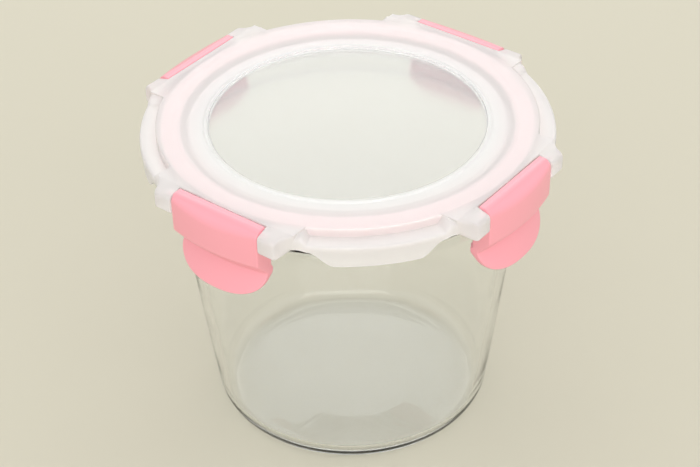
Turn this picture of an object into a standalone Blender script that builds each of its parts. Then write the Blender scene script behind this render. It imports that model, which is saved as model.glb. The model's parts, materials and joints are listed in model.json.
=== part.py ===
"""Round glass storage container: jar, clip-on lid, gasket and four flip latches.

The origin is the middle of the jar's base, +Z is up, and the latches face +X, +Y, -X and -Y.
"""
from math import cos, pi, radians, sin, tan

import bmesh
import bpy
from mathutils import Matrix, Vector

MM = 0.001
STEPS = 64                     # facets around every turned piece
MERGE = 0.00001                # merge distance of the turned meshes

# Overall sizes, in millimetres
HEIGHT = 115.0                 # from the base to the lid's deck
LATCH_ANGLES = {"latch_right": 0, "latch_back": 90, "latch_left": 180, "latch_front": 270}

# Jar, with heights above the base
RIM_TOP = HEIGHT - 4.4
BEAD_TOP = HEIGHT - 11.8
BEAD_BOTTOM = HEIGHT - 16.4
BEAD_R = 63.0                  # the bead that the latches hook under
LIP_R = 61.2                   # outer radius of the lip above the bead
MOUTH_R = 57.2
WALL_TOP_R = 60.4              # outer radius just under the bead
WALL_TAPER = 0.097             # radius lost for each millimetre down
WALL_BULGE = 2.2               # more radius lost a hundred millimetres down
WALL_THICK = 3.2
BASE_THICK = 3.8
BASE_CORNER_R = 9.0
INNER_CORNER_R = 6.0

# Lid, with heights from the deck, downwards negative
DECK_R = 64.8
DECK_THICK = 1.7
PANEL_Z = -1.9
PANEL_R = 46.6
RING_Z = -1.1
RING_R = 48.4
VALLEY_Z = -1.75
SLOPE_IN_R = 52.4
SLOPE_OUT_R = 57.4
PANEL_THICK = 1.6
CHANNEL_IN_R = 56.7
CHANNEL_OUT_R = 63.4
CHANNEL_DEPTH = 8.7
PLUG_R = 55.2
FLANGE_R = 70.4
FLANGE_Z = -3.2
FLANGE_THICK = 1.6
SKIRT_R = 69.9
SKIRT_STEP_Z = -5.3
SKIRT_Z = -11.2
SKIRT_THICK = 1.3
SHOULDER_HALF_ANGLE = 25.6     # degrees each side of a latch
SHOULDER_DROP = 1.9
SHOULDER_Z = -6.3
SKIRT_END_ANGLE = 29.5         # where the skirt starts to reach down, from a latch
SKIRT_FULL_ANGLE = 32.5        # where it is at full depth
EAR_IN = 18.0                  # along the hinge, from the latch's middle
EAR_OUT = 25.0
EAR_FACE = 70.3                # from the jar's axis
EAR_Z = -8.1
BLOCK_Z = -8.5
SLOT_EDGE = 64.95              # straight edge of the deck along the latch

# Latch
HINGE_R = 67.3                 # hinge axis, from the jar's axis
HINGE_Z = -2.5
BARREL_R = 2.2
CLEAR_R = 3.0
AXLE_R = 1.2
AXLE_HALF = 20.6
SOCKET_R = 1.5
SOCKET_HALF = 21.2
LATCH_HALF = 17.7
LATCH_FACE_R = 72.2
LATCH_INSIDE_R = 70.2
LATCH_TOP_Z = -0.3
LATCH_TOP_SLOPE = 22.0         # degrees
LATCH_CORNER_Z = -3.6
LATCH_BOTTOM_Z = -13.8
CREASE_R = 67.6
CREASE_Z = -18.8
HOOK_R = 63.25
HOOK_TOP_Z = -17.35            # low enough to swing in under the bead
HOOK_UNDER_Z = -19.1
TONGUE_R = 71.9
TONGUE_Z = -28.4
TONGUE_THICK = 1.8
TONGUE_POWER = 2.55
END_WALL = 1.5
END_WALL_R = 64.5
END_WALL_TOP_R = 68.3
END_WALL_STEP_Z = -9.4

# Gasket
GASKET_GAP = 0.3
GASKET_TOP_Z = -2.0
GASKET_BOTTOM_Z = -4.1


def collection(name):
    made = bpy.data.collections.new(name)
    bpy.context.scene.collection.children.link(made)
    return made


def material(name, colour, roughness, transmission=0.0):
    made = bpy.data.materials.new(name)
    made.use_nodes = True
    shader = made.node_tree.nodes["Principled BSDF"]
    shader.inputs["Base Color"].default_value = (*colour, 1.0)
    shader.inputs["Roughness"].default_value = roughness
    shader.inputs["Metallic"].default_value = 0.0
    shader.inputs["Transmission Weight"].default_value = transmission
    return made


def arc(centre_r, centre_z, radius, start, end, count):
    """Points of an arc in the r-z plane, angles in degrees from +r."""
    points = []
    for index in range(count + 1):
        angle = radians(start + (end - start) * index / count)
        points.append((centre_r + radius * cos(angle), centre_z + radius * sin(angle)))
    return points


def mesh_object(name, mesh, group):
    made = bpy.data.objects.new(name, mesh)
    group.objects.link(made)
    return made


def turned(name, profile, group, closed=False, drop=0.0):
    """A profile of (radius, height) millimetres turned about +Z, raised by drop."""
    mesh = bpy.data.meshes.new(name)
    vertices = [(r * MM, 0.0, (z + drop) * MM) for r, z in profile]
    edges = [(i, i + 1) for i in range(len(vertices) - 1)]
    if closed:
        edges.append((len(vertices) - 1, 0))
    mesh.from_pydata(vertices, edges, [])
    made = mesh_object(name, mesh, group)
    screw = made.modifiers.new("Turn", "SCREW")
    screw.axis = "Z"
    screw.angle = 2.0 * pi
    screw.steps = STEPS
    screw.render_steps = STEPS
    screw.use_merge_vertices = True
    screw.merge_threshold = MERGE
    return made


def box(name, low, high, group, turn=0.0):
    """A box between two corners in millimetres, turned about the jar's axis by degrees."""
    mesh = bpy.data.meshes.new(name)
    shape = bmesh.new()
    bmesh.ops.create_cube(shape, size=1.0)
    size = Vector([(b - a) * MM for a, b in zip(low, high)])
    middle = Vector([(a + b) / 2 * MM for a, b in zip(low, high)])
    bmesh.ops.scale(shape, vec=size, verts=shape.verts)
    bmesh.ops.translate(shape, vec=middle, verts=shape.verts)
    shape.to_mesh(mesh)
    shape.free()
    made = mesh_object(name, mesh, group)
    made.rotation_euler.z = radians(turn)
    return made


def rod(name, radius, half, group, turn=0.0, segments=24):
    """A cylinder on a latch's hinge axis."""
    mesh = bpy.data.meshes.new(name)
    shape = bmesh.new()
    bmesh.ops.create_cone(shape, cap_ends=True, segments=segments, radius1=radius * MM,
                          radius2=radius * MM, depth=2.0 * half * MM)
    place = Matrix.Translation((HINGE_R * MM, 0.0, (HEIGHT + HINGE_Z) * MM))
    bmesh.ops.transform(shape, matrix=place @ Matrix.Rotation(pi / 2, 4, "X"), verts=shape.verts)
    shape.to_mesh(mesh)
    shape.free()
    made = mesh_object(name, mesh, group)
    made.rotation_euler.z = radians(turn)
    return made


def sheet(name, outline, low, high, group, across, turn=0.0):
    """A flat outline in millimetres made into a solid between low and high, heights from the deck.

    The outline is (distance from the axis, height) when across is "Y", (place along
    the hinge, height) when across is "X", and a plan about +X when across is "Z".
    """
    curve = bpy.data.curves.new(name, "CURVE")
    curve.dimensions = "2D"
    curve.fill_mode = "BOTH"
    curve.extrude = (high - low) / 2 * MM
    spline = curve.splines.new("POLY")
    spline.points.add(len(outline) - 1)
    for point, (a, b) in zip(spline.points, outline):
        point.co = (a * MM, b * MM, 0.0, 1.0)
    spline.use_cyclic_u = True
    guide = bpy.data.objects.new(name + "_outline", curve)
    bpy.context.scene.collection.objects.link(guide)
    middle = (low + high) / 2 * MM
    upright = Matrix.Rotation(pi / 2, 4, "X")
    facing, shift = {
        "X": (Matrix.Rotation(pi / 2, 4, "Z") @ upright, Vector((middle, 0.0, 0.0))),
        "Y": (upright, Vector((0.0, middle, 0.0))),
        "Z": (Matrix.Identity(4), Vector((0.0, 0.0, middle))),
    }[across]
    place = Matrix.Translation(shift + Vector((0.0, 0.0, HEIGHT * MM)))
    guide.matrix_world = Matrix.Rotation(radians(turn), 4, "Z") @ place @ facing
    bpy.context.view_layer.update()
    mesh = bpy.data.meshes.new_from_object(guide.evaluated_get(bpy.context.evaluated_depsgraph_get()))
    shape = bmesh.new()
    shape.from_mesh(mesh)
    bmesh.ops.remove_doubles(shape, verts=shape.verts, dist=MERGE)
    bmesh.ops.recalc_face_normals(shape, faces=shape.faces)
    shape.to_mesh(mesh)
    shape.free()
    made = mesh_object(name, mesh, group)
    made.matrix_world = guide.matrix_world.copy()
    bpy.data.objects.remove(guide)
    return made


def combine(target, operation, other):
    """A Boolean of the target with an object or a collection."""
    cut = target.modifiers.new(operation.title(), "BOOLEAN")
    cut.operation = operation
    cut.solver = "EXACT"
    if isinstance(other, bpy.types.Collection):
        cut.operand_type = "COLLECTION"
        cut.collection = other
    else:
        cut.object = other
    return cut


def finished_mesh(source, name):
    """The source as its modifiers leave it, smooth but for its sharp edges."""
    bpy.context.view_layer.update()
    mesh = bpy.data.meshes.new_from_object(source.evaluated_get(bpy.context.evaluated_depsgraph_get()))
    mesh.name = name
    mesh.shade_smooth()
    mesh.set_sharp_from_angle(angle=radians(35))
    return mesh


def wall_radius(height):
    """Outer radius of the jar's wall: a taper with a slight belly."""
    down = BEAD_BOTTOM - height
    return WALL_TOP_R - WALL_TAPER * down - WALL_BULGE * (down / 100.0) ** 2


def jar_profile():
    """From the middle of the floor, up the inside, over the lip and down the outside."""
    inner_foot = wall_radius(BASE_THICK + INNER_CORNER_R) - WALL_THICK
    profile = [(0.0, BASE_THICK)]
    profile += arc(inner_foot - INNER_CORNER_R, BASE_THICK + INNER_CORNER_R, INNER_CORNER_R, -90, -6, 4)
    rows = 4
    low = BASE_THICK + INNER_CORNER_R + 8.0
    high = BEAD_BOTTOM - 4.0
    heights = [low + (high - low) * row / (rows - 1) for row in range(rows)]
    profile += [(wall_radius(height) - WALL_THICK, height) for height in heights]
    profile += [(MOUTH_R, BEAD_BOTTOM + 3.0), (MOUTH_R, RIM_TOP - 1.4)]
    profile += [(MOUTH_R + 0.5, RIM_TOP - 0.4), (MOUTH_R + 1.4, RIM_TOP)]
    profile += [(LIP_R - 1.4, RIM_TOP), (LIP_R - 0.5, RIM_TOP - 0.4), (LIP_R, RIM_TOP - 1.4)]
    profile += [(LIP_R, BEAD_TOP + 0.8), (BEAD_R - 0.5, BEAD_TOP), (BEAD_R, BEAD_TOP - 0.9)]
    profile += [(BEAD_R, BEAD_BOTTOM + 0.6), (BEAD_R - 0.6, BEAD_BOTTOM)]
    profile += [(WALL_TOP_R + 0.4, BEAD_BOTTOM - 0.2)]
    profile += [(wall_radius(height), height) for height in reversed(heights)]
    outer_foot = wall_radius(BASE_CORNER_R)
    profile += arc(outer_foot - BASE_CORNER_R, BASE_CORNER_R, BASE_CORNER_R, -8, -90, 5)
    profile.append((0.0, 0.0))
    return profile


def make_jar(group, glass):
    blank = turned("jar_blank", jar_profile(), group)
    jar = mesh_object("jar", finished_mesh(blank, "jar"), group)
    jar.data.materials.append(glass)
    bpy.data.objects.remove(blank)


def lid_profile():
    """From the middle of the top, out over the deck, and back along the underside."""
    under = PANEL_Z - PANEL_THICK
    foot = -CHANNEL_DEPTH
    return [
        (0.0, PANEL_Z), (PANEL_R, PANEL_Z), (RING_R - 0.9, RING_Z - 0.2), (RING_R, RING_Z),
        (RING_R + 0.9, RING_Z - 0.2), (RING_R + 1.7, VALLEY_Z), (SLOPE_IN_R, VALLEY_Z),
        (SLOPE_OUT_R, -0.35), (SLOPE_OUT_R + 0.8, 0.0), (DECK_R - 0.5, 0.0), (DECK_R, -0.5),
        (DECK_R, foot), (CHANNEL_OUT_R, foot), (CHANNEL_OUT_R, -DECK_THICK),
        (CHANNEL_IN_R, -DECK_THICK), (CHANNEL_IN_R, foot + 1.1), (CHANNEL_IN_R - 0.5, foot + 0.5),
        (PLUG_R, foot + 0.5), (PLUG_R, under - 0.4), (PLUG_R - 1.0, under), (0.0, under),
    ]


def flange_profile():
    """The rim outside the deck and the skirt that hangs from it."""
    inner = SKIRT_R - SKIRT_THICK
    return [
        (DECK_R - 0.6, FLANGE_Z), (FLANGE_R - 0.8, FLANGE_Z), (FLANGE_R - 0.2, FLANGE_Z - 0.3),
        (FLANGE_R, FLANGE_Z - 0.9), (FLANGE_R, SKIRT_STEP_Z + 0.2), (SKIRT_R, SKIRT_STEP_Z),
        (SKIRT_R, SKIRT_Z + 0.4), (SKIRT_R - 0.3, SKIRT_Z), (inner + 0.2, SKIRT_Z),
        (inner, SKIRT_Z + 0.3), (inner, FLANGE_Z - FLANGE_THICK), (DECK_R - 0.6, FLANGE_Z - FLANGE_THICK),
    ]


def shoulder_profile():
    """The rim beside the ears, whose top falls away straight from the deck."""
    thick = 1.7
    return [
        (DECK_R - 0.9, 0.0), (FLANGE_R - 0.9, -SHOULDER_DROP), (FLANGE_R, -SHOULDER_DROP - 0.9),
        (FLANGE_R, SHOULDER_Z + 0.3), (FLANGE_R - 0.3, SHOULDER_Z), (FLANGE_R - thick, SHOULDER_Z),
        (FLANGE_R - thick, -SHOULDER_DROP - thick), (DECK_R - 0.9, -thick),
    ]


def make_shoulders(group, keep):
    """Four sectors of the shoulder ring, one about each latch."""
    ring = turned("shoulder", shoulder_profile(), group, closed=True, drop=HEIGHT)
    reach = FLANGE_R + 10.0
    side = reach * tan(radians(SHOULDER_HALF_ANGLE))
    plan = [(0.0, 0.0), (reach, -side), (reach, side)]
    sectors = collection("shoulder_sectors")
    for turn in LATCH_ANGLES.values():
        sheet("sector_{}".format(turn), plan, BLOCK_Z, CLEAR_R, sectors, "Z", turn)
    combine(ring, "INTERSECT", sectors)
    mesh_object("lid_shoulder", finished_mesh(ring, "lid_shoulder"), keep)
    bpy.data.objects.remove(ring)
    return sectors


def ear_outline():
    """An ear seen along the hinge: its top falls like the latch's, its foot is cut back."""
    fall = (EAR_FACE - 1.2 - HINGE_R) * tan(radians(LATCH_TOP_SLOPE))
    return [
        (DECK_R - 6.5, -0.02), (HINGE_R - 1.5, -0.02), (HINGE_R, -0.15), (EAR_FACE - 1.2, -0.15 - fall),
        (EAR_FACE - 0.3, -0.9 - fall), (EAR_FACE, -1.9 - fall), (EAR_FACE, EAR_Z + 1.0),
        (EAR_FACE - 0.6, EAR_Z + 0.3), (EAR_FACE - 2.0, EAR_Z), (DECK_R - 6.5, EAR_Z),
    ]


def block_outline():
    """The bar between two ears, between the deck's circle and the latch's slot."""
    return [(DECK_R - 6.5, -0.02), (SLOT_EDGE, -0.02), (SLOT_EDGE, BLOCK_Z), (DECK_R - 6.5, BLOCK_Z)]


def skirt_trim(side, turn, group):
    """A cutter that lifts the skirt's lower edge near an ear, with a sloping end."""
    reach = FLANGE_R + 1.0
    start = reach * sin(radians(SKIRT_END_ANGLE))
    full = reach * sin(radians(SKIRT_FULL_ANGLE))
    name = "trim_{}_{}".format("a" if side > 0 else "b", turn)
    outline = [
        (side * 12.0, SHOULDER_Z - 0.05), (side * start, SHOULDER_Z - 0.05),
        (side * full, SKIRT_Z + 1.6), (side * (full + 2.5), SKIRT_Z - 0.2),
        (side * (full + 2.5), SKIRT_Z - 3.0), (side * 12.0, SKIRT_Z - 3.0),
    ]
    return sheet(name, outline, DECK_R * 0.75, FLANGE_R + 4.0, group, "X", turn)


def make_lid(group, translucent):
    solids = collection("lid_solids")
    cutters = collection("lid_cutters")
    blank = turned("lid_blank", lid_profile(), group, drop=HEIGHT)
    flange = turned("flange", flange_profile(), group, closed=True, drop=HEIGHT)
    trims = collection("skirt_trims")
    for turn in LATCH_ANGLES.values():
        for side in (-1, 1):
            skirt_trim(side, turn, trims)
    combine(flange, "DIFFERENCE", trims)
    mesh_object("lid_flange", finished_mesh(flange, "lid_flange"), solids)
    sectors = make_shoulders(group, solids)
    for turn in LATCH_ANGLES.values():
        sheet("block_{}".format(turn), block_outline(), -EAR_IN - 1.0, EAR_IN + 1.0, solids, "Y", turn)
        for side in (-1, 1):
            low, high = sorted((side * EAR_IN, side * EAR_OUT))
            sheet("ear_{}_{}".format(turn, side), ear_outline(), low, high, solids, "Y", turn)
        notch_low = (SLOT_EDGE, -EAR_IN, HEIGHT - 20.0)
        notch_high = (FLANGE_R + 12.0, EAR_IN, HEIGHT + 5.0)
        box("notch_{}".format(turn), notch_low, notch_high, cutters, turn)
        rod("clearance_{}".format(turn), CLEAR_R, EAR_IN, cutters, turn, 32)
        rod("socket_{}".format(turn), SOCKET_R, SOCKET_HALF, cutters, turn)
    channel = [(CHANNEL_IN_R, -DECK_THICK), (CHANNEL_OUT_R, -DECK_THICK), (CHANNEL_OUT_R, -30.0),
               (CHANNEL_IN_R, -30.0)]
    turned("channel", channel, cutters, closed=True, drop=HEIGHT)
    combine(blank, "UNION", solids)
    combine(blank, "DIFFERENCE", cutters)
    lid = mesh_object("lid", finished_mesh(blank, "lid"), group)
    lid.data.materials.append(translucent)
    for spent in (blank, flange):
        bpy.data.objects.remove(spent)
    for spare in (solids, cutters, trims, sectors):
        for item in list(spare.objects):
            bpy.data.objects.remove(item)
        bpy.data.collections.remove(spare)


def gasket_profile():
    low = CHANNEL_IN_R + GASKET_GAP
    high = CHANNEL_OUT_R - GASKET_GAP
    middle = (low + high) / 2
    return [
        (low + 0.3, GASKET_TOP_Z), (high - 0.3, GASKET_TOP_Z), (high, GASKET_TOP_Z - 0.3),
        (high, GASKET_BOTTOM_Z + 0.3), (high - 0.3, GASKET_BOTTOM_Z), (middle + 1.2, GASKET_BOTTOM_Z),
        (middle, GASKET_BOTTOM_Z + 0.4), (middle - 1.2, GASKET_BOTTOM_Z), (low + 0.3, GASKET_BOTTOM_Z),
        (low, GASKET_BOTTOM_Z + 0.3), (low, GASKET_TOP_Z - 0.3),
    ]


def make_gasket(group, silicone):
    blank = turned("gasket_blank", gasket_profile(), group, closed=True, drop=HEIGHT)
    gasket = mesh_object("gasket", finished_mesh(blank, "gasket"), group)
    gasket.data.materials.append(silicone)
    bpy.data.objects.remove(blank)


def latch_ring_profile():
    """The latch's section: top wall, front wall, bevel, flared tongue and hook."""
    return [
        (65.3, 2.0), (70.9, 2.0), (70.9, LATCH_CORNER_Z + 1.8), (71.8, LATCH_CORNER_Z + 0.9),
        (LATCH_FACE_R, LATCH_CORNER_Z), (LATCH_FACE_R - 0.1, LATCH_BOTTOM_Z),
        (LATCH_FACE_R - 0.7, LATCH_BOTTOM_Z - 0.9), (CREASE_R, CREASE_Z), (CREASE_R + 0.2, CREASE_Z - 0.9),
        (TONGUE_R, TONGUE_Z + 0.5), (TONGUE_R - 0.4, TONGUE_Z), (TONGUE_R - TONGUE_THICK + 0.3, TONGUE_Z),
        (TONGUE_R - TONGUE_THICK, TONGUE_Z + 0.6), (CREASE_R - TONGUE_THICK, HOOK_UNDER_Z - 1.4),
        (CREASE_R - TONGUE_THICK - 0.9, HOOK_UNDER_Z - 0.5), (HOOK_R + 0.4, HOOK_UNDER_Z),
        (HOOK_R, HOOK_UNDER_Z + 0.4), (HOOK_R, HOOK_TOP_Z - 0.3), (HOOK_R + 0.3, HOOK_TOP_Z),
        (CREASE_R - 1.0, HOOK_TOP_Z), (LATCH_INSIDE_R, LATCH_BOTTOM_Z + 0.3), (LATCH_INSIDE_R, -4.4),
        (LATCH_INSIDE_R - 0.8, -3.7), (65.3, -2.6),
    ]


def latch_side_outline():
    """The latch seen along the hinge: the flat top and all the room below it."""
    reach = 76.0
    fall = (reach - HINGE_R) * tan(radians(LATCH_TOP_SLOPE))
    return [
        (65.35, -1.1), (65.5, -0.6), (65.95, LATCH_TOP_Z), (HINGE_R, LATCH_TOP_Z),
        (reach, LATCH_TOP_Z - fall), (reach, -34.0), (58.0, -34.0), (58.0, -9.0), (65.35, -9.0),
    ]


def latch_front_outline():
    """The latch seen from outside: square sides, and an oval end to the tongue."""
    outline = [(-LATCH_HALF, 3.0), (LATCH_HALF, 3.0)]
    drop = CREASE_Z - TONGUE_Z
    count = 18
    for index in range(count + 1):
        angle = pi * index / count
        across = abs(cos(angle)) ** (2.0 / TONGUE_POWER)
        down = sin(angle) ** (2.0 / TONGUE_POWER)
        side = 1.0 if cos(angle) >= 0.0 else -1.0
        outline.append((side * LATCH_HALF * across, CREASE_Z - drop * down))
    return outline


def end_wall_profile():
    inside = LATCH_INSIDE_R + 0.8
    return [
        (END_WALL_TOP_R, -2.9), (inside, -2.9), (inside, LATCH_BOTTOM_Z + 0.3),
        (CREASE_R - 0.4, HOOK_TOP_Z - 0.8), (END_WALL_R, HOOK_TOP_Z - 0.8),
        (END_WALL_R, END_WALL_STEP_Z), (END_WALL_TOP_R, END_WALL_STEP_Z + 0.4),
    ]


def latch_mesh(group):
    """One latch facing +X, moved so that its hinge axis passes through the origin."""
    body = turned("latch_body", latch_ring_profile(), group, closed=True, drop=HEIGHT)
    side = sheet("latch_side", latch_side_outline(), -LATCH_HALF - 5.0, LATCH_HALF + 5.0, group, "Y")
    front = sheet("latch_outline", latch_front_outline(), 55.0, 80.0, group, "X")
    combine(body, "INTERSECT", side)
    combine(body, "INTERSECT", front)
    ends = turned("latch_ends", end_wall_profile(), group, closed=True, drop=HEIGHT)
    plates = collection("end_plates")
    for sign in (-1, 1):
        low, high = sorted((sign * (LATCH_HALF - END_WALL), sign * LATCH_HALF))
        box("plate_{}".format(sign), (60.0, low, HEIGHT - 25.0), (74.0, high, HEIGHT), plates)
    combine(ends, "INTERSECT", plates)
    barrel = rod("latch_barrel", BARREL_R, LATCH_HALF, group)
    axle = rod("latch_axle", AXLE_R, AXLE_HALF, group)
    for piece in (ends, barrel, axle):
        combine(body, "UNION", piece)
    mesh = finished_mesh(body, "latch")
    mesh.transform(Matrix.Translation((-HINGE_R * MM, 0.0, -(HEIGHT + HINGE_Z) * MM)))
    for spent in [body, side, front, ends, barrel, axle] + list(plates.objects):
        bpy.data.objects.remove(spent)
    bpy.data.collections.remove(plates)
    return mesh


def make_latches(group, plastic):
    mesh = latch_mesh(group)
    mesh.materials.clear()
    mesh.materials.append(plastic)
    for name, turn in LATCH_ANGLES.items():
        latch = mesh_object(name, mesh, group)
        angle = radians(turn)
        latch.location = (HINGE_R * MM * cos(angle), HINGE_R * MM * sin(angle), (HEIGHT + HINGE_Z) * MM)
        latch.rotation_euler.z = angle


def main():
    for item in list(bpy.data.objects):
        bpy.data.objects.remove(item)
    container = collection("glass_storage_container")
    make_jar(container, material("clear_glass", (0.95, 0.98, 0.97), 0.02, transmission=1.0))
    make_lid(container, material("translucent_lid", (0.92, 0.90, 0.88), 0.35, transmission=0.7))
    make_gasket(container, material("pink_silicone", (0.90, 0.52, 0.52), 0.45))
    make_latches(container, material("pink_plastic", (0.95, 0.38, 0.43), 0.35))


main()
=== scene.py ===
"""The looks of the round glass storage container: jar, clip-on lid, gasket and four flip latches.

Lengths are in millimetres, and MM makes them metres. Heights in the lid and the latches are measured
from the lid's deck.
"""

import json
from math import cos, pi, radians, sin, sqrt, tan

import bmesh
import bpy
from mathutils import Matrix, Vector


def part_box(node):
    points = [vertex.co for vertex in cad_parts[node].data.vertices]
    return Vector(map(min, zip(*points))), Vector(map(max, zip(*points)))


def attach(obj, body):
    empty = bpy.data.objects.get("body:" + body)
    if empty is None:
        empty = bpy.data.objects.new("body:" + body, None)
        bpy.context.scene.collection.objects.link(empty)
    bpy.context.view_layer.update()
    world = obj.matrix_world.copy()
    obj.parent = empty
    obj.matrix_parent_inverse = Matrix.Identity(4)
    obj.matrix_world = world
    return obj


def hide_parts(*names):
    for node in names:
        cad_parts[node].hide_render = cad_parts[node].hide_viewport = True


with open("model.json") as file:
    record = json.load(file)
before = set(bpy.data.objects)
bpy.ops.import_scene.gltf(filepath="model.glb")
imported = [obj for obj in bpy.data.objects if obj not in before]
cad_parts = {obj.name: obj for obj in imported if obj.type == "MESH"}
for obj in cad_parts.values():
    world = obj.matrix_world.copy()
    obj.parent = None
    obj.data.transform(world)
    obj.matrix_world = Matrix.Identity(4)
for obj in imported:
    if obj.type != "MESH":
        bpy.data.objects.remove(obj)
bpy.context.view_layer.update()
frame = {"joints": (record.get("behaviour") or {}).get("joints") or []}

MM = 0.001
LATCHES = {"latch_right": 0, "latch_back": 90, "latch_left": 180, "latch_front": 270}

# Driving sizes, from the frame
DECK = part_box("lid")[1].z / MM                       # height of the lid's deck
RIM_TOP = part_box("jar")[1].z / MM
BEAD_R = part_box("jar")[1].x / MM
FLANGE_R = 70.4
LATCH_FACE_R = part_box("latch_right")[1].x / MM
LATCH_HALF = 17.7
AXLE_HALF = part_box("latch_right")[1].y / MM
HINGE = next(joint for joint in frame["joints"] if joint["child"] == "latch_right")["pos_m"]
HINGE_R = HINGE[0] / MM
HINGE_Z = HINGE[2] / MM - DECK

STEPS = 192                                          # facets around a turned piece
ARC = 4                                              # steps around a small rounded corner
WELD = 1e-6                                          # metres: points this close are one point
SAME = 1e-4                                          # millimetres: the same for an outline's points


def link(obj):
    bpy.context.scene.collection.objects.link(obj)
    return obj


def mesh_object(name, mesh):
    return link(bpy.data.objects.new(name, mesh))


def rounded(corners, points=ARC):
    """A closed outline with its corners rounded. A corner is (a, b, radius)."""
    outline = []
    count = len(corners)
    for index, (a, b, radius) in enumerate(corners):
        here = Vector((a, b))
        before = Vector(corners[index - 1][:2]) - here
        after = Vector(corners[(index + 1) % count][:2]) - here
        if radius == 0.0:
            outline.append((a, b))
            continue
        if before.length < 1e-6 or after.length < 1e-6:
            outline += [(a, b)] * (points + 1)
            continue
        half = before.angle(after) / 2.0
        reach = min(radius / max(tan(half), 1e-3), 0.48 * before.length, 0.48 * after.length)
        start = here + before.normalized() * reach
        end = here + after.normalized() * reach
        for step in range(points + 1):
            share = step / points
            point = start * (1 - share) ** 2 + here * 2 * share * (1 - share) + end * share ** 2
            outline.append((point.x, point.y))
    return outline


def finished(obj, name, sharp=32):
    """The evaluated object as a clean mesh object, smooth but for its sharp edges."""
    bpy.context.view_layer.update()
    mesh = bpy.data.meshes.new_from_object(obj.evaluated_get(bpy.context.evaluated_depsgraph_get()))
    mesh.name = name
    mesh.transform(obj.matrix_world)
    shape = bmesh.new()
    shape.from_mesh(mesh)
    bmesh.ops.remove_doubles(shape, verts=shape.verts, dist=WELD)
    bmesh.ops.dissolve_degenerate(shape, edges=shape.edges, dist=WELD)
    bmesh.ops.recalc_face_normals(shape, faces=shape.faces)
    shape.to_mesh(mesh)
    shape.free()
    mesh.materials.clear()
    mesh.shade_smooth()
    mesh.set_sharp_from_angle(angle=radians(sharp))
    bpy.data.objects.remove(obj)
    return mesh_object(name, mesh)


def turned(name, profile, base=0.0, closed=True):
    """A profile of (radius, height) turned about the jar's axis."""
    mesh = bpy.data.meshes.new(name)
    vertices = [(r * MM, 0.0, (z + base) * MM) for r, z in profile]
    edges = [(i, i + 1) for i in range(len(vertices) - 1)]
    if closed:
        edges.append((len(vertices) - 1, 0))
    mesh.from_pydata(vertices, edges, [])
    made = mesh_object(name, mesh)
    screw = made.modifiers.new("Turn", "SCREW")
    screw.axis = "Z"
    screw.angle = 2.0 * pi
    screw.steps = STEPS
    screw.render_steps = STEPS
    screw.use_merge_vertices = True
    screw.merge_threshold = WELD
    return made


def loft(name, sections):
    """A closed solid through sections that have the same number of points, in millimetres."""
    shape = bmesh.new()
    rings = [[shape.verts.new([c * MM for c in point]) for point in section] for section in sections]
    for first, second in zip(rings, rings[1:]):
        count = len(first)
        for index in range(count):
            after = (index + 1) % count
            shape.faces.new((first[index], first[after], second[after], second[index]))
    shape.faces.new(rings[0][::-1])
    shape.faces.new(rings[-1])
    bmesh.ops.remove_doubles(shape, verts=shape.verts, dist=WELD)
    bmesh.ops.dissolve_degenerate(shape, edges=shape.edges, dist=WELD)
    bmesh.ops.recalc_face_normals(shape, faces=shape.faces)
    mesh = bpy.data.meshes.new(name)
    shape.to_mesh(mesh)
    shape.free()
    return mesh_object(name, mesh)


def boolean(target, operation, others):
    """Joins others to the target, or cuts them from it, and uses them up."""
    group = bpy.data.collections.new(operation)
    for other in others:
        group.objects.link(other)
    cut = target.modifiers.new(operation.title(), "BOOLEAN")
    cut.operation = operation
    cut.solver = "EXACT"
    cut.operand_type = "COLLECTION"
    cut.collection = group
    bpy.context.view_layer.update()
    mesh = bpy.data.meshes.new_from_object(target.evaluated_get(bpy.context.evaluated_depsgraph_get()))
    target.modifiers.clear()
    target.data = mesh
    for other in others:
        bpy.data.objects.remove(other)
    bpy.data.collections.remove(group)


def crossing(first, second):
    """Where two lines meet. A line is a point and its direction."""
    (start, along), (other_start, other_along) = first, second
    gap = other_start - start
    turn = along.cross(other_along)
    if abs(turn) < 1e-9:
        return other_start
    return start + along * (gap.cross(other_along) / turn)


def inset(outline, depth):
    """A closed outline moved inwards by depth. A corner too tight for that becomes sharp.

    It keeps the number of points, so that sections still match each other.
    """
    if depth == 0.0:
        return list(outline)
    points = [Vector(point) for point in outline]
    inward = 1.0 if sum(points[i - 1].cross(points[i]) for i in range(len(points))) > 0 else -1.0
    starts = [i for i in range(len(points)) if (points[i] - points[i - 1]).length > SAME]
    sides = []
    for index, start in enumerate(starts):
        along = (points[starts[(index + 1) % len(starts)]] - points[start]).normalized()
        sides.append((points[start] + Vector((-along.y, along.x)) * inward * depth, along))
    kept = list(range(len(sides)))
    reach = [(points[starts[(i + 1) % len(starts)]] - points[starts[i]]).length for i in kept]
    while True:
        corners = {i: crossing(sides[kept[k - 1]], sides[i]) for k, i in enumerate(kept)}
        folded = [i for k, i in enumerate(kept)
                  if (corners[kept[(k + 1) % len(kept)]] - corners[i]).dot(sides[i][1]) < -1e-9]
        if not folded:
            break
        kept.remove(min(folded, key=lambda i: reach[i]))
    moved = []
    side = len(sides) - 1
    for index in range(len(points)):
        if index in starts:
            side = (side + 1) % len(sides)
        moved.append(tuple(corners[next((i for i in kept if i >= side), kept[0])]))
    return moved


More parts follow.
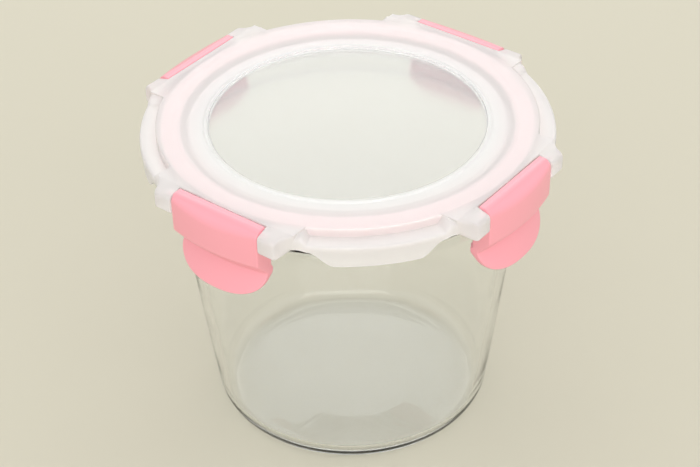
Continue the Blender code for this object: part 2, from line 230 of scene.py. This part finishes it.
def rod(name, radius, half, segments=48, edge=0.0):
    """A cylinder on a latch's hinge axis, about +X."""
    mesh = bpy.data.meshes.new(name)
    shape = bmesh.new()
    bmesh.ops.create_cone(shape, cap_ends=True, segments=segments, radius1=radius * MM,
                          radius2=radius * MM, depth=2.0 * half * MM)
    place = Matrix.Translation((HINGE_R * MM, 0.0, (DECK + HINGE_Z) * MM))
    bmesh.ops.transform(shape, matrix=place @ Matrix.Rotation(pi / 2, 4, "X"), verts=shape.verts)
    if edge:
        rims = [e for e in shape.edges if len(e.link_faces) == 2 and e.calc_face_angle() > 1.0]
        bmesh.ops.bevel(shape, geom=rims, offset=edge * MM, segments=3, profile=0.5, affect="EDGES")
    shape.to_mesh(mesh)
    shape.free()
    return mesh_object(name, mesh)


def turn_to(obj, angle):
    obj.data.transform(Matrix.Rotation(radians(angle), 4, "Z"))
    return obj


# Jar

WALL_TOP_R = 60.4
WALL_TAPER = 0.097
WALL_BULGE = 2.2
WALL_THICK = 3.2
BEAD_BOTTOM = DECK - 16.4
BEAD_TOP = DECK - 11.8
BASE_THICK = 3.8
BASE_HOLLOW = 0.5                                    # push-up of the base inside its foot ring


def wall_radius(height):
    """Outer radius of the jar's wall: a taper with a slight belly."""
    down = BEAD_BOTTOM - height
    return WALL_TOP_R - WALL_TAPER * down - WALL_BULGE * (down / 100.0) ** 2


def arc(centre_r, centre_z, radius, start, end, count):
    angles = [radians(start + (end - start) * step / count) for step in range(count + 1)]
    return [(centre_r + radius * cos(a), centre_z + radius * sin(a)) for a in angles]


def make_jar():
    mouth = 57.2
    lip = 61.2
    inner_corner = 6.0
    outer_corner = 9.0
    inner_foot = wall_radius(BASE_THICK + inner_corner) - WALL_THICK
    outer_foot = wall_radius(outer_corner)
    heights = [BASE_THICK + inner_corner + 4.0 + 5.0 * row for row in range(15)]
    profile = [(0.0, BASE_THICK)]
    profile += arc(inner_foot - inner_corner, BASE_THICK + inner_corner, inner_corner, -90, -6, 12)
    profile += [(wall_radius(z) - WALL_THICK, z) for z in heights]
    rim = [
        (mouth, BEAD_BOTTOM + 1.0, 4.0), (mouth, RIM_TOP, 1.8), (lip, RIM_TOP, 1.8),
        (lip, BEAD_TOP, 0.5), (BEAD_R, BEAD_TOP, 0.9), (BEAD_R, BEAD_BOTTOM, 0.8),
        (WALL_TOP_R + 0.2, BEAD_BOTTOM - 0.3, 1.2),
    ]
    ends = [(wall_radius(heights[-1]) - WALL_THICK, heights[-1], 0.0)]
    ends_out = [(wall_radius(heights[-1]), heights[-1], 0.0)]
    profile += rounded(ends + rim + ends_out, 6)[1:-1]
    profile += [(wall_radius(z), z) for z in reversed(heights)]
    profile += arc(outer_foot - outer_corner, outer_corner, outer_corner, -6, -90, 14)
    ring = outer_foot - outer_corner
    profile += rounded([(ring, 0.0, 0.0), (ring - 2.0, 0.0, 4.0), (ring - 16.0, BASE_HOLLOW, 20.0),
                        (0.0, BASE_HOLLOW, 0.0)], 6)[1:]
    return finished(turned("jar_glass", profile, closed=False), "jar_glass")


# Lid

DECK_R = 64.8
SLOT_EDGE = 64.95
EAR_IN = 18.0
EAR_OUT = 25.0
EAR_FACE = 70.3
EAR_Z = -8.1
EAR_FLARE = 3.2                                      # how far an ear's side spreads at its root
EAR_ROOT = 6.2                                       # how deep that root lies behind the ear's face
BLOCK_Z = -8.5
FACET_TURN = 0.4                                     # keeps the body's facets off the planes of the ears
TOP_SLOPE = tan(radians(22.0))
FLANGE_Z = -3.2
SHOULDER_END = 25.0                                  # degrees from a latch
SKIRT_START = 27.0
SKIRT_FULL = 33.75
CHANNEL_IN = 56.7
CHANNEL_OUT = 63.4
CHANNEL_DEPTH = 8.7
WALL_MIDDLE = 64.1                                   # radius inside the wall between channel and slot


def lid_body():
    """The turned middle of the lid: panel, ring bead, valley, slope, deck and gasket channel."""
    foot = -CHANNEL_DEPTH
    under = -3.5
    corners = [
        (46.8, -1.9, 0.5), (47.5, -1.2, 0.6), (48.5, -1.2, 0.6), (49.3, -1.75, 0.8), (53.2, -1.5, 6.0),
        (58.6, 0.0, 5.0), (DECK_R, 0.0, 0.55), (DECK_R, foot, 0.4), (CHANNEL_OUT, foot, 0.3),
        (CHANNEL_OUT, -1.7, 0.4), (CHANNEL_IN, -1.7, 0.4), (CHANNEL_IN, foot + 0.5, 0.5),
        (55.2, foot + 0.5, 0.5), (55.2, under, 1.2), (0.0, under, 0.0), (0.0, -1.9, 0.0),
    ]
    outline = rounded(corners, 5)
    profile = outline[-1:] + outline[:-1]
    return finished(turned("lid_body", profile, DECK, closed=False), "lid_body")


def smooth(value, low, high):
    share = min(max((value - low) / (high - low), 0.0), 1.0)
    return share * share * (3.0 - 2.0 * share)


def rim_section(away):
    """The rim's section at an angle from a latch: shoulder near the ears, flange and skirt beyond."""
    shoulder = 1.0 - smooth(away, SHOULDER_END, SHOULDER_END + 2.2)
    deep = smooth(away, SKIRT_START, SKIRT_FULL)
    inner = DECK_R - 0.5
    top_in = FLANGE_Z + (-0.06 - FLANGE_Z) * shoulder
    top_out = FLANGE_Z + 2.3 * shoulder
    arch = smooth(away, 21.5, 24.3) - smooth(away, 24.3, 27.2)
    bottom = -6.3 + 0.75 * arch - 4.9 * deep
    under_in = -4.8 + 2.8 * shoulder
    under_out = -4.8 + 1.6 * shoulder
    corners = [
        (inner, top_in, 0.0), (DECK_R + 0.9, top_in - 0.14 * shoulder, 0.0),
        (FLANGE_R, top_out, 1.0 + 1.6 * shoulder), (FLANGE_R, -5.2, 0.2), (69.9, -5.4, 0.2),
        (69.9, bottom, 0.5), (68.6, bottom, 0.4), (68.6, under_out, 0.5), (inner, under_in, 0.0),
    ]
    return rounded(corners, 5)


def rim_strip(start):
    """The rim between the ears of two latches."""
    half = [17.5, 19.5, 22.0, 24.0]
    half += [SHOULDER_END + 0.25 * step for step in range(36)]
    half += [SKIRT_FULL + (45.0 - SKIRT_FULL) * (step + 1) / 8 for step in range(8)]
    both = half + [90.0 - angle for angle in reversed(half[:-1])]
    sections = []
    for angle in both:
        turn = radians(start + angle)
        away = min(angle, 90.0 - angle)
        sections.append([(r * cos(turn), r * sin(turn), z + DECK) for r, z in rim_section(away)])
    return loft("rim_strip", sections)


def ear(side):
    """One ear of a latch about +X. Its outer side runs out into the shoulder."""
    fall = (EAR_FACE - HINGE_R) * TOP_SLOPE
    edge = 0.6
    turn = 1.1
    stops = [(EAR_IN, edge, 0.0), (EAR_IN + 0.15, 0.2, 0.0), (EAR_IN + edge, 0.0, 0.0)]
    for step in range(6):
        angle = radians(65.0) * step / 5
        stops.append((EAR_OUT - turn + turn * sin(angle), 0.0, turn * (1.0 - cos(angle))))
    across, depth, back = stops[-1]
    for step in range(1, 8):
        share = step / 7
        stops.append((across + EAR_FLARE * share ** 1.5, 0.0, back + (EAR_ROOT - back) * share))
    sections = []
    for across, depth, back in stops:
        face = EAR_FACE - back
        foot = EAR_Z + 2.8 * smooth(across, EAR_OUT - 1.0, EAR_OUT + EAR_FLARE)
        inner = sqrt(WALL_MIDDLE ** 2 - across * across)
        corners = [
            (inner - depth, depth - 0.03, 0.0), (HINGE_R - 3.0, depth - 0.03, 2.2),
            (face, -0.3 - fall + 0.16 * back, 2.2), (face, foot, 1.6), (inner - depth, foot, 0.0),
        ]
        outline = inset(rounded(corners, 6), depth)
        sections.append([(n, side * across, z + DECK) for n, z in outline])
    return loft("ear", sections)


def block():
    """The bar between two ears, from the wall under the deck to the latch's slot."""
    sections = []
    half = EAR_IN + 1.5
    count = 16
    for step in range(count + 1):
        across = half * (2 * step / count - 1)
        inner = sqrt(WALL_MIDDLE ** 2 - across * across)
        corners = [
            (inner, -0.04, 0.0), (SLOT_EDGE, -0.04, 0.35), (SLOT_EDGE, BLOCK_Z, 0.35), (inner, BLOCK_Z, 0.0),
        ]
        sections.append([(n, across, z + DECK) for n, z in rounded(corners, 4)])
    return loft("block", sections)


def make_lid():
    lid = turn_to(lid_body(), FACET_TURN)
    added, cut = [], []
    for angle in LATCHES.values():
        added.append(turn_to(block(), angle))
        added += [turn_to(ear(side), angle) for side in (-1, 1)]
        added.append(rim_strip(angle))
        cut.append(turn_to(rod("clearance", 3.0, EAR_IN - 0.04), angle))
        cut.append(turn_to(rod("socket", 1.5, 21.2), angle))
    boolean(lid, "UNION", added)
    boolean(lid, "DIFFERENCE", cut)
    return finished(lid, "lid_moulding", 30)


# Gasket


def make_gasket():
    low = CHANNEL_IN + 0.3
    high = CHANNEL_OUT - 0.3
    middle = (low + high) / 2
    corners = [
        (low, -2.0, 0.4), (high, -2.0, 0.4), (high, -4.1, 0.5), (middle + 1.4, -4.1, 0.5),
        (middle, -3.5, 0.6), (middle - 1.4, -4.1, 0.5), (low, -4.1, 0.5),
    ]
    return finished(turned("gasket_ring", rounded(corners, 4), DECK), "gasket_ring", 60)


# Latches

CREASE_R = 67.6                                      # where the tongue turns outwards
CREASE_Z = -18.8
TONGUE_R = 71.9                                      # the tongue's tip
TONGUE_Z = -28.4
TONGUE_THICK = 1.8
TONGUE_POWER = 2.55                                  # 2 would make the tongue's outline an ellipse
HOOK_R = 63.25
HOOK_TOP = -17.35
HOOK_UNDER = -19.1
LATCH_EDGE = 0.45                                    # rounding of a latch's ends


def tongue_end(t):
    """Height of the tongue's lower edge at a place along the hinge."""
    share = min(abs(t) / LATCH_HALF, 1.0)
    return CREASE_Z - (CREASE_Z - TONGUE_Z) * (1.0 - share ** TONGUE_POWER) ** (1.0 / TONGUE_POWER)


def crown_fall(n):
    """How far the latch's top has dropped at a distance from the jar's axis."""
    return 0.12 * (n - 66.0) ** 1.6


def latch_section(t):
    """The latch's outer section at a place along the hinge."""
    end = tongue_end(t)
    out = (CREASE_Z - end) / (CREASE_Z - TONGUE_Z)
    tip = CREASE_R + (TONGUE_R - CREASE_R) * out

    def at(radius):
        return sqrt(radius * radius - t * t)

    front = at(LATCH_FACE_R)
    crown = [66.0 + (front - 3.6 - 66.0) * step / 4 for step in range(5)]
    hook = HOOK_R + 1.6 * smooth(abs(t), LATCH_HALF - 2.6, LATCH_HALF)
    corners = [(65.35, -0.3, 0.5)]
    corners += [(n, -0.3 - crown_fall(n), 0.0) for n in crown]
    corners += [
        (front, -0.3 - crown_fall(front), 3.4),
        (at(LATCH_FACE_R - 0.1), -13.8, 1.3), (at(CREASE_R), CREASE_Z, 1.2),
        (at(tip), end, 0.7), (at(tip - TONGUE_THICK), end, 0.7),
        (at(CREASE_R - TONGUE_THICK - 0.4), max(HOOK_UNDER - 0.9, end), 1.2),
        (at(hook), max(HOOK_UNDER, end), 0.5), (at(hook), max(HOOK_TOP, end), 0.4),
        (at(hook + 0.7), max(HOOK_TOP, end), 0.3), (at(65.6), -9.4, 0.4), (at(68.3), -9.0, 0.4),
        (at(68.3), -3.4, 0.3), (65.35, -2.6, 0.3),
    ]
    return rounded(corners, ARC)


def latch_cavity():
    """The hollow between the latch's end walls, open towards the jar."""
    sections = []
    half = LATCH_HALF - 1.5
    count = 24
    for step in range(count + 1):
        t = -half + 2 * half * step / count
        face = sqrt(70.2 ** 2 - t * t)
        floor = sqrt(66.6 ** 2 - t * t)
        corners = [
            (face, -4.4, 0.3), (face - 0.8, -3.9, 0.5), (59.0, -0.9, 0.0), (59.0, HOOK_TOP, 0.0),
            (floor, HOOK_TOP, 0.6), (face, -13.5, 0.6),
        ]
        sections.append([(n, t, z + DECK) for n, z in rounded(corners, 4)])
    return loft("latch_cavity", sections)


def make_latch():
    """One latch facing +X."""
    stops = [(-LATCH_HALF + LATCH_EDGE * (1 - cos(a)), LATCH_EDGE * (1 - sin(a)))
             for a in (0.0, pi / 8, pi / 4, 3 * pi / 8, pi / 2)]
    inner = LATCH_HALF - LATCH_EDGE
    count = 48
    for step in range(1, count):
        angle = pi * step / count
        stops.append((-inner * cos(angle), 0.0))
    stops += [(-across, depth) for across, depth in stops[:5][::-1]]
    sections = []
    for across, depth in stops:
        outline = inset(latch_section(across), depth)
        sections.append([(n, across, z + DECK) for n, z in outline])
    latch = loft("latch", sections)
    boolean(latch, "DIFFERENCE", [latch_cavity()])
    barrel = rod("barrel", 2.2, LATCH_HALF - 0.05, 48, 0.3)
    boolean(latch, "UNION", [barrel, rod("axle", 1.2, AXLE_HALF, 32, 0.2)])
    return finished(latch, "latch_moulding", 34)


# Materials

PANEL_R = 46.5                                       # edge of the lid's clear panel


def new_material(name):
    made = bpy.data.materials.new(name)
    made.use_nodes = True
    return made, made.node_tree, made.node_tree.nodes["Principled BSDF"]


def node(tree, kind, **inputs):
    made = tree.nodes.new(kind)
    for key, value in inputs.items():
        made.inputs[key.replace("_", " ")].default_value = value
    return made


def grain(tree, shader, scale, strength, distance, detail=4.0):
    """A fine moulded surface: noise in the object's own space, as bump."""
    place = tree.nodes.new("ShaderNodeTexCoord")
    noise = node(tree, "ShaderNodeTexNoise", Scale=scale, Detail=detail, Roughness=0.6)
    bump = node(tree, "ShaderNodeBump", Strength=strength, Distance=distance)
    tree.links.new(place.outputs["Object"], noise.inputs["Vector"])
    tree.links.new(noise.outputs["Fac"], bump.inputs["Height"])
    tree.links.new(bump.outputs["Normal"], shader.inputs["Normal"])
    return bump


def let_lamps_through(tree, shader, colour):
    """Lamps shine through the surface, tinted by colour."""
    output = tree.nodes["Material Output"]
    path = tree.nodes.new("ShaderNodeLightPath")
    clear = tree.nodes.new("ShaderNodeBsdfTransparent")
    clear.inputs["Color"].default_value = (*colour, 1.0)
    mix = tree.nodes.new("ShaderNodeMixShader")
    tree.links.new(path.outputs["Is Shadow Ray"], mix.inputs["Fac"])
    tree.links.new(shader.outputs["BSDF"], mix.inputs[1])
    tree.links.new(clear.outputs["BSDF"], mix.inputs[2])
    tree.links.new(mix.outputs["Shader"], output.inputs["Surface"])


def glass_material():
    made, tree, shader = new_material("clear_glass")
    shader.inputs["Base Color"].default_value = (0.993, 0.998, 0.997, 1.0)
    shader.inputs["Roughness"].default_value = 0.0
    shader.inputs["Transmission Weight"].default_value = 1.0
    shader.inputs["IOR"].default_value = 1.5
    grain(tree, shader, 38.0, 0.25, 0.0006, 1.0)
    let_lamps_through(tree, shader, (0.94, 0.945, 0.945))
    absorb = tree.nodes.new("ShaderNodeVolumeAbsorption")
    absorb.inputs["Color"].default_value = (0.72, 0.86, 0.95, 1.0)
    absorb.inputs["Density"].default_value = 3.0
    tree.links.new(absorb.outputs["Volume"], tree.nodes["Material Output"].inputs["Volume"])
    return made


def lid_material():
    """Milky moulded plastic, satin over the rim, with a clearer and smoother panel in the middle.

    Over the gasket's channel the colour turns pink: painted light, the gasket's pink glow seen through the
    lid, painted into the plastic's colour.
    """
    made, tree, shader = new_material("translucent_lid")
    bump = grain(tree, shader, 2600.0, 0.12, 0.00006)
    shader.inputs["IOR"].default_value = 1.45
    place = tree.nodes.new("ShaderNodeTexCoord")
    flat = tree.nodes.new("ShaderNodeVectorMath")
    flat.operation = "MULTIPLY"
    flat.inputs[1].default_value = (1.0, 1.0, 0.0)
    reach = tree.nodes.new("ShaderNodeVectorMath")
    reach.operation = "LENGTH"
    tree.links.new(place.outputs["Object"], flat.inputs[0])
    tree.links.new(flat.outputs["Vector"], reach.inputs[0])
    spreads = (
        (shader.inputs["Transmission Weight"], 0.82, 0.46), (shader.inputs["Roughness"], 0.16, 0.42),
        (bump.inputs["Strength"], 0.003, 0.12),
    )
    for socket, middle, outside in spreads:
        spread = node(tree, "ShaderNodeMapRange", From_Min=PANEL_R * MM, From_Max=(PANEL_R + 2.0) * MM,
                      To_Min=middle, To_Max=outside)
        tree.links.new(reach.outputs["Value"], spread.inputs["Value"])
        tree.links.new(spread.outputs["Result"], socket)
    zones = node(tree, "ShaderNodeMapRange", From_Min=40.0 * MM, From_Max=75.0 * MM)
    tint = tree.nodes.new("ShaderNodeValToRGB")
    tint.color_ramp.elements[0].position = 0.18
    tint.color_ramp.elements[0].color = (0.885, 0.90, 0.90, 1.0)
    tint.color_ramp.elements[1].position = 0.26
    tint.color_ramp.elements[1].color = (0.925, 0.92, 0.91, 1.0)
    # painted light: the pink band stands for the gasket's glow showing through the lid; the panel stays cool
    # and the outer flange less pink
    painted_gasket_glow = (0.95, 0.90, 0.89, 1.0)
    for share, colour in ((0.45, painted_gasket_glow), (0.68, painted_gasket_glow), (0.80, (0.95, 0.925, 0.915, 1.0))):
        tint.color_ramp.elements.new(share).color = colour
    tree.links.new(reach.outputs["Value"], zones.inputs["Value"])
    tree.links.new(zones.outputs["Result"], tint.inputs["Fac"])
    tree.links.new(tint.outputs["Color"], shader.inputs["Base Color"])
    let_lamps_through(tree, shader, (0.80, 0.795, 0.79))
    return made


def plastic_material():
    made, tree, shader = new_material("pink_plastic")
    grain(tree, shader, 1800.0, 0.15, 0.00008)
    shader.inputs["Base Color"].default_value = (0.97, 0.40, 0.46, 1.0)
    shader.inputs["Roughness"].default_value = 0.30
    shader.inputs["IOR"].default_value = 1.53
    return made


def silicone_material():
    made, tree, shader = new_material("pink_silicone")
    grain(tree, shader, 1200.0, 0.2, 0.0001)
    shader.inputs["Base Color"].default_value = (0.94, 0.40, 0.45, 1.0)
    shader.inputs["Roughness"].default_value = 0.5
    return made


# Stage


def make_stage():
    shape = bmesh.new()
    bmesh.ops.create_grid(shape, x_segments=1, y_segments=1, size=6.0)
    mesh = bpy.data.meshes.new("floor")
    shape.to_mesh(mesh)
    shape.free()
    floor = mesh_object("floor", mesh)
    floor.location.z = -0.1 * MM
    made, tree, shader = new_material("floor")
    shader.inputs["Base Color"].default_value = (0.63, 0.60, 0.485, 1.0)
    shader.inputs["Roughness"].default_value = 0.6
    shader.inputs["Specular IOR Level"].default_value = 0.15
    floor.data.materials.append(made)


def area_light(name, place, target, size, power):
    lamp = bpy.data.lights.new(name, "AREA")
    lamp.shape = "RECTANGLE"
    lamp.size, lamp.size_y = size
    lamp.energy = power
    made = link(bpy.data.objects.new(name, lamp))
    made.location = place
    made.rotation_euler = (Vector(target) - Vector(place)).to_track_quat("-Z", "Y").to_euler()


def make_lights():
    world = bpy.data.worlds.new("studio")
    bpy.context.scene.world = world
    world.use_nodes = True
    background = world.node_tree.nodes["Background"]
    background.inputs["Color"].default_value = (1.0, 0.995, 0.985, 1.0)
    background.inputs["Strength"].default_value = 0.82
    area_light("back_softbox", (-0.66, 0.84, 0.90), (0.0, 0.0, 0.1), (1.4, 1.0), 6.0)
    area_light("front_softbox", (0.92, -0.96, 0.80), (0.0, 0.0, 0.06), (2.2, 1.4), 11.5)


def make_camera():
    """Looks down at the container between its front and right latches."""
    distance = 0.5141
    height = DECK * MM + 0.3319
    heading = radians(-52.0)
    pitch = radians(36.6)
    roll = radians(-1.2)
    outward = Vector((cos(heading), sin(heading), 0.0))
    forward = -outward * cos(pitch) - Vector((0.0, 0.0, sin(pitch)))
    level = forward.cross(Vector((0.0, 0.0, 1.0))).normalized()
    upright = level.cross(forward)
    right = level * cos(roll) + upright * sin(roll)
    up = upright * cos(roll) - level * sin(roll)
    camera = bpy.data.cameras.new("camera")
    camera.lens = 92.98
    camera.sensor_width = 36.0
    made = link(bpy.data.objects.new("camera", camera))
    turn = Matrix((right, up, -forward)).transposed().to_4x4()
    made.matrix_world = Matrix.Translation(outward * distance + Vector((0.0, 0.0, height))) @ turn
    bpy.context.scene.camera = made


def dress(obj, node_name, body, material):
    obj.name = node_name + "_detail"
    obj.data.materials.append(material)
    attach(obj, body)
    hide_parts(node_name)


def main():
    bpy.context.scene.view_settings.view_transform = "Standard"
    make_camera()
    dress(make_jar(), "jar", "jar", glass_material())
    dress(make_lid(), "lid", "lid", lid_material())
    dress(make_gasket(), "gasket", "lid", silicone_material())
    plastic = plastic_material()
    pattern = make_latch()
    for name, angle in LATCHES.items():
        mesh = pattern.data.copy()
        mesh.transform(Matrix.Rotation(radians(angle), 4, "Z"))
        dress(mesh_object(name, mesh), name, name, plastic)
    bpy.data.objects.remove(pattern)
    make_stage()
    make_lights()


main()
